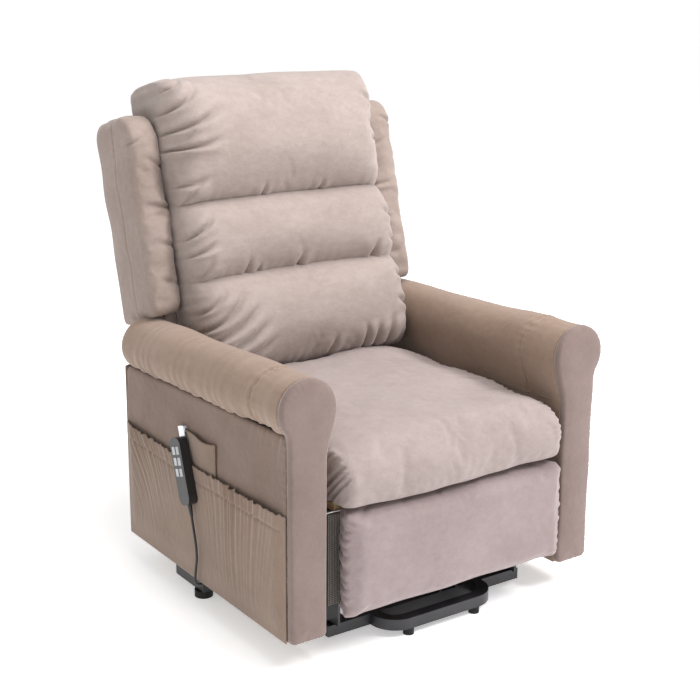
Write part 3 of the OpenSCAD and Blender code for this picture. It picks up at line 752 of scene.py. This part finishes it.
def make_deck():
    """The cloth stretched over the back frame, behind the pillows: front, both sides and top."""
    half, front, rear, low, high, flap_low = 0.2775, -0.0272, 0.036, 0.030, 0.752, 0.156
    corner, top_step = 0.004, 0.003
    span = [(-half, rear), (-half, front + corner), (-half + corner, front)]
    span += [(x, front) for x in np.linspace(-half + 0.03, half - 0.03, 24)]
    span += [(half - corner, front), (half, front + corner), (half, rear)]
    levels = np.r_[low, np.linspace(flap_low, high - corner, 40)]
    mesh = bmesh.new()
    rings = [[mesh.verts.new((x, y, z)) for x, y in span] for z in levels]
    for i in range(len(rings) - 1):
        for k in range(len(span) - 1):
            on_flap = k < 2 or k > len(span) - 4
            if not (i == 0 and on_flap):
                mesh.faces.new((rings[i][k], rings[i][k + 1], rings[i + 1][k + 1], rings[i + 1][k]))
    top_rear = [mesh.verts.new((x, rear, high)) for x, _ in span]
    top_front = [mesh.verts.new((x, y + (top_step if abs(x) < half else 0), high)) for x, y in span]
    for k in range(len(span) - 1):
        mesh.faces.new((rings[-1][k], rings[-1][k + 1], top_front[k + 1], top_front[k]))
        mesh.faces.new((top_front[k], top_front[k + 1], top_rear[k + 1], top_rear[k]))
    bmesh.ops.remove_doubles(mesh, verts=mesh.verts, dist=1e-5)
    obj = from_bmesh("back_deck_cloth", mesh, SHADED_PANEL_SUEDE)
    obj.data.transform(BACK)
    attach(obj, "back")


# ---- seat and footrest ----

SEAT_LOW, SEAT_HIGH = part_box("seat_cushion")
PAD_LOW, PAD_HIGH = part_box("footrest_pad")
TO_THE_LEFT = 0.010


def shift_left(obj):
    """The loose seat and footrest pad sit a little nearer the left arm."""
    obj.data.transform(Matrix.Translation((TO_THE_LEFT, 0, 0)))


def start_seat():
    radii = (0.024, 0.075, 0.02, 0.05)
    obj, grid = stuffed("seat_cushion_cover", SEAT_LOW, SEAT_HIGH, radii, SEAT_SUEDE, bulge=0.004)
    co = points_of(obj)
    edge = abs(grid[:, 0])
    top = step_up((co[:, 2] - SEAT_LOW[2]) / (SEAT_HIGH[2] - SEAT_LOW[2]))
    forward = step_up((-co[:, 1] - 0.05) / 0.42)
    co[:, 2] -= top * (0.016 * edge ** 3.2 + 0.006 * edge ** 9)
    co[:, 2] -= top * 0.010 * forward ** 2
    co[:, 0] *= 0.985 - 0.015 * step_up((co[:, 1] + 0.46) / 0.1)
    co[:, 1] += np.where(co[:, 1] < -0.3, 0.008, 0)
    set_points(obj, co)
    round_ends(obj, 0.289, 0.028, grid[:, 1] < 0)
    shift_left(obj)
    sewn = rim(grid) | (grid[:, 2] < -1 + 1e-6) | (grid[:, 1] > 1 - 1e-6)
    return obj, sewn


def finish_seat(obj):
    finer(obj)
    co, n = points_of(obj), normals_of(obj)
    side_off = SEAT_HIGH[0] - abs(co[:, 0])
    cap = abs(n[:, 0]) > 0.75
    run = co[:, 1] + co[:, 2]
    move = 0.0022 * waves(co, 0.24, 2) + 0.0008 * waves(co, 0.09, 4)
    move += 0.0012 * gathers(run, side_off, 0.019, 0.022, 21) * (co[:, 1] < 0.1)
    move += np.where(cap, 0.0018 * gathers(run, 0 * run, 0.024, 1.0, 22), 0)
    swell(obj, move)
    settle(obj, "carriage", ["seat_cushion"])


def start_pad():
    radii = (0.024, 0.020, 0.012, 0.008)
    obj, grid = stuffed(
        "footrest_pad_cover", PAD_LOW, PAD_HIGH, radii, SHADED_PAD_SUEDE, bulge=0.003, step=0.0065
    )
    co = points_of(obj)
    rearward = step_up((co[:, 1] - PAD_LOW[1]) / (PAD_HIGH[1] - PAD_LOW[1]))
    co[:, 0] *= 0.985 - 0.07 * rearward
    co[:, 1] += 0.006
    set_points(obj, co)
    round_ends(obj, 0.289, 0.025, 1 - rearward)
    shift_left(obj)
    sewn = rim(grid) | (grid[:, 1] > 1 - 1e-6)
    return obj, sewn


def finish_pad(obj):
    finer(obj)
    co, n = points_of(obj), normals_of(obj)
    side_off = PAD_HIGH[0] - abs(co[:, 0])
    cap = abs(n[:, 0]) > 0.75
    move = 0.0015 * waves(co, 0.17, 12)
    move += 0.0007 * gathers(co[:, 2], side_off, 0.021, 0.018, 23)
    move += np.where(cap, 0.0016 * gathers(co[:, 2], 0 * side_off, 0.022, 1.0, 24), 0)
    swell(obj, move)
    folds = [
        (-0.286, 0.312, -0.246, 0.296, 0.004, 0.004, 0.002),
        (-0.288, 0.296, -0.261, 0.288, 0.004, 0.003, 0.002),
        (-0.289, 0.272, -0.268, 0.270, 0.003, 0.003, 0.001),
    ]
    fold(obj, (0, -1, 0), folds)
    settle(obj, "footrest", ["footrest_pad"])


# ---- arms ----

ARM_IN, ARM_OUT = 0.314, 0.400
ROLL_X, ROLL_Z, ROLL_R, ROLL_DROP = 0.355, 0.551, 0.065, 0.023
ARM_FRONT, ARM_REAR, FACING_T = -0.440, 0.267, 0.015
PANEL_LOW = 0.065
BAND_Y = -0.320
SKIRT_Z = 0.441


def inner_side(z):
    """The arm's inner outline: it leaves the roll's side and falls to the inner panel."""
    t = step_up((ROLL_Z - z) / (ROLL_Z - SKIRT_Z))
    return ROLL_X - ROLL_R + t * (ARM_IN - 0.001 - (ROLL_X - ROLL_R))


def resample(points, step):
    """Points about step apart round a closed outline."""
    points = np.vstack([points, points[:1]])
    length = np.r_[0, np.cumsum(np.linalg.norm(np.diff(points, axis=0), axis=1))]
    count = int(round(length[-1] / step))
    at = np.linspace(0, length[-1], count + 1)[:-1]
    return np.column_stack([np.interp(at, length, points[:, k]) for k in range(2)])


def arc(first, last, count):
    """Points round the roll, from angle first to last in degrees."""
    angles = np.radians(np.linspace(first, last, count))
    return [(ROLL_X + ROLL_R * math.cos(t), ROLL_Z + ROLL_R * math.sin(t)) for t in angles]


def roll_section():
    """The roll's closed outline in x and z: inner skirt, round top, and a hidden underside."""
    skirt = [(inner_side(z), z) for z in np.linspace(SKIRT_Z, ROLL_Z, 14)[:-1]]
    return resample([(0.322, 0.478), *skirt, *arc(180, -46, 40), (0.388, 0.501)], 0.007)


def make_roll(side):
    section = roll_section()
    count = int((ARM_REAR - ARM_FRONT - FACING_T) / 0.0062)
    rows = np.linspace(ARM_FRONT + FACING_T, ARM_REAR, count)
    centre = np.array([ROLL_X, ROLL_Z])
    rounding = 0.030
    points = []
    for y in rows:
        back = max(0.0, y - (ARM_REAR - rounding))
        inset = rounding - math.sqrt(rounding ** 2 - back ** 2)
        scale = 1 - inset / ROLL_R
        ring = centre + (section - centre) * scale
        drop = ROLL_DROP * (y - ARM_FRONT) / (ARM_REAR - ARM_FRONT)
        points += [(side * x, y, z - drop) for x, z in ring]
    m = len(section)
    faces = []
    for i in range(count - 1):
        for k in range(m):
            quad = (i * m + k, i * m + (k + 1) % m, (i + 1) * m + (k + 1) % m, (i + 1) * m + k)
            faces.append(quad if side > 0 else quad[::-1])
    ends = [tuple(range(m)), tuple(range((count - 1) * m, count * m))]
    faces += [ends[0][::-1], ends[1]] if side > 0 else [ends[0], ends[1][::-1]]
    name = sided("arm_roll", side)
    obj = new_piece(name + "_cover", np.array(points), faces, SHADED_ARM_SUEDE)
    bmesh_fix(obj)
    finer(obj)
    co, n = points_of(obj), normals_of(obj)
    y = co[:, 1]
    round_way = np.arctan2(co[:, 2] - ROLL_Z + 0.01, side * co[:, 0] - ROLL_X)
    arc_way = round_way * ROLL_R
    band = y - BAND_Y - 0.004 * np.cos(2 * round_way)
    move = -0.0040 * np.exp(-(band / 0.0028) ** 2) + 0.0014 * np.exp(-((band - 0.008) / 0.006) ** 2)
    move += 0.0010 * gathers(arc_way, abs(band), 0.017, 0.012, 41 + side)
    front = y - (ARM_FRONT + FACING_T)
    move += 0.0006 * gathers(arc_way, front, 0.013, 0.014, 43 + side)
    low = np.clip((co[:, 2] - (ROLL_Z - 0.055)) / 0.08, 0, 1)
    outer = side * co[:, 0] > ROLL_X
    move += np.where(outer, 0.0014 * gathers(y, 0.06 * low, 0.036, 0.03, 45 + side), 0)
    move += 0.0022 * waves(co, 0.17, 47 + side) * step_up(front / 0.05)
    ends_free = step_up((ARM_REAR - y) / 0.02)
    swell(obj, move * ends_free * (abs(n[:, 1]) < 0.9))
    settle(obj, "carriage", [name])


def bmesh_fix(obj):
    """Merges doubled points and makes the normals point outward."""
    mesh = bmesh.new()
    mesh.from_mesh(obj.data)
    bmesh.ops.remove_doubles(mesh, verts=mesh.verts, dist=1e-6)
    bmesh.ops.recalc_face_normals(mesh, faces=mesh.faces)
    mesh.to_mesh(obj.data)
    mesh.free()


def facing_outline():
    """The keyhole: a round head on a straight column."""
    corner, nick = 0.010, 0.003
    skirt = [(inner_side(z), z) for z in np.linspace(SKIRT_Z, ROLL_Z, 16)[:-1]]
    inner = [(ARM_IN, PANEL_LOW + corner), *skirt]
    head = arc(180, -40, 60)
    neck = [(ARM_OUT + 0.001, ROLL_Z - 0.056), (ARM_OUT, ROLL_Z - 0.070)]
    outer_foot = [
        (ARM_OUT, PANEL_LOW + corner), (ARM_OUT - nick, PANEL_LOW + nick), (ARM_OUT - corner, PANEL_LOW),
    ]
    inner_foot = [(ARM_IN + corner, PANEL_LOW), (ARM_IN + nick, PANEL_LOW + nick)]
    return resample([*inner, *head, *neck, *outer_foot, *inner_foot], 0.0042)


def make_facing(side):
    outline = facing_outline()
    low, high = np.array([0.3565, 0.105]), np.array([ROLL_X, ROLL_Z])
    axis = high - low
    t = np.clip((outline - low) @ axis / (axis @ axis), 0, 1)
    spine = low + t[:, None] * axis
    reach = np.linalg.norm(outline - spine, axis=1)
    along = np.r_[0, np.cumsum(np.linalg.norm(np.diff(outline, axis=0), axis=1))]
    rings = [(0, 0), (0, 0.004), (0, 0.008), (0.0008, 0.0112), (0.0024, 0.0135), (0.005, 0.0150),
             (0.009, 0.0160), (0.014, 0.0170), (0.020, 0.0180), (0.027, 0.0188), (0.034, 0.0194)]
    outer = outline[:, 0] > ROLL_X
    points = []
    for inset, depth in rings:
        share = 1 - inset / reach
        ring = spine + (outline - spine) * share[:, None]
        pucker = 0.0007 * gathers(along, 0 * along + inset, 0.0085, 0.012, 51) * outer
        points += [(side * x, ARM_FRONT + FACING_T - d, z) for (x, z), d in zip(ring, depth + pucker)]
    m, levels = len(outline), len(rings)
    points += [(side * x, ARM_FRONT + FACING_T - 0.0196, z) for x, z in spine]
    faces = []
    for i in range(levels):
        for k in range(m):
            faces.append((i * m + k, i * m + (k + 1) % m, (i + 1) * m + (k + 1) % m, (i + 1) * m + k))
    faces.append(tuple(range(m)))
    name = sided("arm_facing", side)
    obj = new_piece(name + "_cover", np.array(points), faces, SHADED_FACING_SUEDE)
    bmesh_fix(obj)
    co, n = points_of(obj), normals_of(obj)
    swell(obj, 0.0010 * waves(co, 0.13, 53 + side) * (n[:, 1] < -0.5))
    settle(obj, "carriage", [name])
    ticks = []
    tangents = np.gradient(outline, axis=0)
    for k in range(0, m, 2):
        x, z = outline[k]
        if x > ROLL_X and z > PANEL_LOW + 0.02:
            tangent = tangents[k] / np.linalg.norm(tangents[k])
            ticks.append((Vector((side * x, ARM_FRONT + FACING_T + 0.0005, z)), tangent))
    stitch_row(name + "_stitches", ticks, side)


STITCH_SIZE = (0.0006, 0.0026, 0.0007, 1)
STITCH_PROUD = 0.0002


def stitch_row(name, ticks, side):
    """Short stitches that cross the facing's seam, along Y."""
    mesh = bmesh.new()
    for at, tangent in ticks:
        across = Vector((side * tangent[1], 0, -tangent[0])).normalized()
        made = bmesh.ops.create_icosphere(mesh, subdivisions=1, radius=1.0)
        turn = Vector((side * tangent[0], 0, tangent[1])).normalized()
        axes = Matrix((turn, Vector((0, 1, 0)), across)).transposed().to_4x4()
        shape = Matrix.Translation(at + across * STITCH_PROUD) @ axes @ Matrix.Diagonal(STITCH_SIZE)
        bmesh.ops.transform(mesh, matrix=shape, verts=made["verts"])
    obj = from_bmesh(name, mesh, SEAM_THREAD)
    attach(obj, "carriage")


def make_outer_panel(side):
    thick, panel_high = 0.012, 0.502
    low, high = (ARM_OUT - thick, ARM_FRONT + FACING_T, PANEL_LOW), (ARM_OUT, ARM_REAR, panel_high)
    name = sided("arm_outer_panel", side)
    radii = (0.006, 0.004, 0.014, 0.02)
    obj, _ = stuffed(
        name + "_cover", *box_on(side, low, high), radii, SHADED_PANEL_SUEDE, edge=0.004, step=0.008
    )
    finer(obj)
    co, n = points_of(obj), normals_of(obj)
    out = n[:, 0] * side > 0.5
    top = 0.5 - co[:, 2]
    front = co[:, 1] - ARM_FRONT
    move = 0.0013 * waves(co, 0.21, 61 + side) + 0.0006 * waves(co, 0.07, 63 + side)
    move += 0.0022 * gathers(co[:, 1] + 0.3 * co[:, 2], top, 0.021, 0.03, 65) * np.exp(-front / 0.09)
    move += 0.0010 * gathers(co[:, 2], front - FACING_T, 0.02, 0.012, 67)
    hem = np.exp(-((co[:, 2] - PANEL_LOW - 0.014) / 0.003) ** 2)
    swell(obj, np.where(out, move - 0.0012 * hem, 0.2 * move))
    co = points_of(obj)
    co[:, 2] -= ROLL_DROP * step_up((co[:, 2] - 0.4) / 0.1) * (co[:, 1] - ARM_FRONT) / (ARM_REAR - ARM_FRONT)
    set_points(obj, co)
    settle(obj, "carriage", [name])


def make_rear_panel():
    low, high = (-0.314, 0.252, 0.065), (0.314, 0.262, 0.272)
    radii = (0.004, 0.004, 0.01, 0.01)
    obj, _ = stuffed("rear_panel_cover", low, high, radii, SHADED_PANEL_SUEDE, edge=0.004, step=0.008)
    finer(obj)
    co, n = points_of(obj), normals_of(obj)
    move = 0.0010 * waves(co, 0.15, 71) + 0.0009 * gathers(co[:, 0], high[2] - co[:, 2], 0.03, 0.03, 72)
    swell(obj, np.where(n[:, 1] > 0.4, move, 0))
    settle(obj, "carriage", ["rear_panel"])


def make_arm_rear(side):
    """The padded cloth that closes an arm's rear end, below its roll."""
    low, high = (0.315, ARM_REAR + 0.0005, 0.067), (0.3995, ARM_REAR + 0.0065, 0.478)
    name = sided("arm_rear", side) + "_cover"
    radii = (0.001, 0.001, 0.003, 0.003)
    obj, _ = stuffed(name, *box_on(side, low, high), radii, SHADED_PANEL_SUEDE, edge=0.002, step=0.008)
    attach(obj, "carriage")


# ---- pockets on the right arm ----

POCKET_TOP = 0.345


def cloth_grid(name, rows, cols, place, material, thick=0.0016):
    """A sheet of cloth: place maps (share across, share up) arrays onto points."""
    u, v = np.meshgrid(np.linspace(0, 1, cols), np.linspace(0, 1, rows))
    points = place(u.ravel(), v.ravel())
    faces = [
        (i * cols + k, i * cols + k + 1, (i + 1) * cols + k + 1, (i + 1) * cols + k)
        for i in range(rows - 1) for k in range(cols - 1)
    ]
    obj = new_piece(name, points, faces, material)
    solid = obj.modifiers.new("thickness", "SOLIDIFY")
    solid.thickness = thick
    solid.offset = 0
    graph = bpy.context.evaluated_depsgraph_get()
    obj.data = bpy.data.meshes.new_from_object(obj.evaluated_get(graph))
    obj.modifiers.clear()
    return obj


def make_side_pocket():
    front, rear, low = ARM_FRONT + FACING_T + 0.001, ARM_REAR - 0.002, PANEL_LOW + 0.001

    def place(u, v):
        y = front + u * (rear - front)
        ends = np.minimum(u, 1 - u)
        top = POCKET_TOP - 0.010 * np.sin(math.pi * u) - 0.006 * step_up(1 - u / 0.35)
        z = low + v * (top - low)
        drop = top - z
        loose = step_up(ends / 0.06) * step_up(v / 0.25)
        out = 0.0012 + 0.0068 * loose
        band = step_up((0.034 - drop) / 0.006)
        strong = np.exp(-((y + 0.245) / 0.085) ** 2) + 0.55 * np.exp(-((y - 0.17) / 0.07) ** 2) + 0.18
        fan = y + (y + 0.245) * 0.35 * np.clip(drop / 0.2, 0, 1)
        pleat = gathers(fan, drop * 0.75, 0.019, 0.075, 81)
        out = out + 0.0026 * strong * pleat * loose
        out = out - 0.0022 * np.exp(-((drop - 0.033) / 0.003) ** 2) * loose
        out = out + 0.0010 * band * strong
        out = out + 0.0012 * waves(np.column_stack([y, z, 0 * y]), 0.16, 83) * loose
        near_handset = np.exp(-((y + 0.075) / 0.05) ** 4)
        out = np.minimum(out, 0.0085 + 0.01 * (1 - near_handset))
        z = z + 0.0016 * gathers(y, drop, 0.019, 0.01, 85)
        return np.column_stack([-ARM_OUT - 0.0012 - np.maximum(out, 0.0004), y, z])

    obj = cloth_grid("side_pocket_cloth", 92, 230, place, POCKET_CLOTH)
    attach(obj, "carriage")
    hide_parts("side_pocket")


def make_handset_pocket():
    front, rear, low, top = -0.150, -0.020, 0.262, 0.407

    def place(u, v):
        y = front + u * (rear - front)
        z = low + v * (top - low) - 0.006 * v * np.sin(math.pi * np.clip(u / 0.6, 0, 1))
        open_mouth = step_up((v - 0.35) / 0.65) * np.sin(math.pi * np.clip(u, 0, 1)) ** 0.8
        out = 0.0008 + 0.0062 * open_mouth + 0.0004 * np.sin(z * 260) * (1 - v)
        return np.column_stack([-ARM_OUT - 0.0012 - out, y, z])

    obj = cloth_grid("handset_pocket_cloth", 40, 40, place, POCKET_CLOTH)
    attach(obj, "carriage")
    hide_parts("handset_pocket")


# ---- carried-over CAD nodes: better materials ----

FINISHES = [
    (STEEL, [
        "base_front_loop", "base_cross_bars", "base_side_rails", "base_side_stubs", "lift_brackets",
        "rear_lift_links", "front_lift_links", "lift_plates", "side_plates", "cross_tubes",
        "back_hinge_brackets", "foot_front_links", "foot_drive_tube", "foot_rear_links",
        "foot_upper_links", "foot_lower_links", "footrest_brackets",
    ]),
    (ZINC, ["seat_springs", "handset_clip", "lift_actuator_rod", "back_actuator_rod"]),
    (PINE, ["seat_side_rails", "seat_cross_rails", "arm_boards", "back_side_rails", "back_cross_rails"]),
    (WEB, ["back_webbing", "footrest_board"]),
    (PLASTIC, ["handset_body", "handset_strain_relief", "control_box", "lift_actuator_motor",
               "back_actuator_motor"]),
    (RUBBER, ["base_feet"]),
    (BUTTON, [f"button_{i}" for i in range(1, 7)]),
    # The inner arm panels take the arms' darker suede copy, which is painted shade.
    (SHADED_ARM_SUEDE, ["arm_inner_panels"]),
]


def finish_nodes():
    for material, names in FINISHES:
        for name in names:
            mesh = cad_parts[name].data
            if not mesh.materials:
                mesh.materials.append(material)
            for i in range(len(mesh.materials)):
                mesh.materials[i] = material


# ---- making everything ----

tiers = {name: start_tier(name) for name in TIERS}
wings = {side: start_wing(side) for side in (-1, 1)}
seat, seat_sewn = start_seat()
pad, pad_sewn = start_pad()
inflate(
    [(obj, sewn, 2.2, 0.0, 0.012) for obj, sewn in tiers.values()]
    + [(obj, sewn, 2.0, 0.02, 0.008) for obj, sewn in wings.values()]
    + [(seat, seat_sewn, 3.0, 0.015, 0.010), (pad, pad_sewn, 2.0, 0.01, 0.005)]
)
for name, (obj, _) in tiers.items():
    finish_tier(name, obj)
for side, (obj, _) in wings.items():
    finish_wing(side, obj)
finish_seat(seat)
finish_pad(pad)
make_shell()
make_deck()
for side in (-1, 1):
    make_roll(side)
    make_facing(side)
    make_outer_panel(side)
make_rear_panel()
for side in (1, -1):
    make_arm_rear(side)
make_side_pocket()
make_handset_pocket()
finish_nodes()
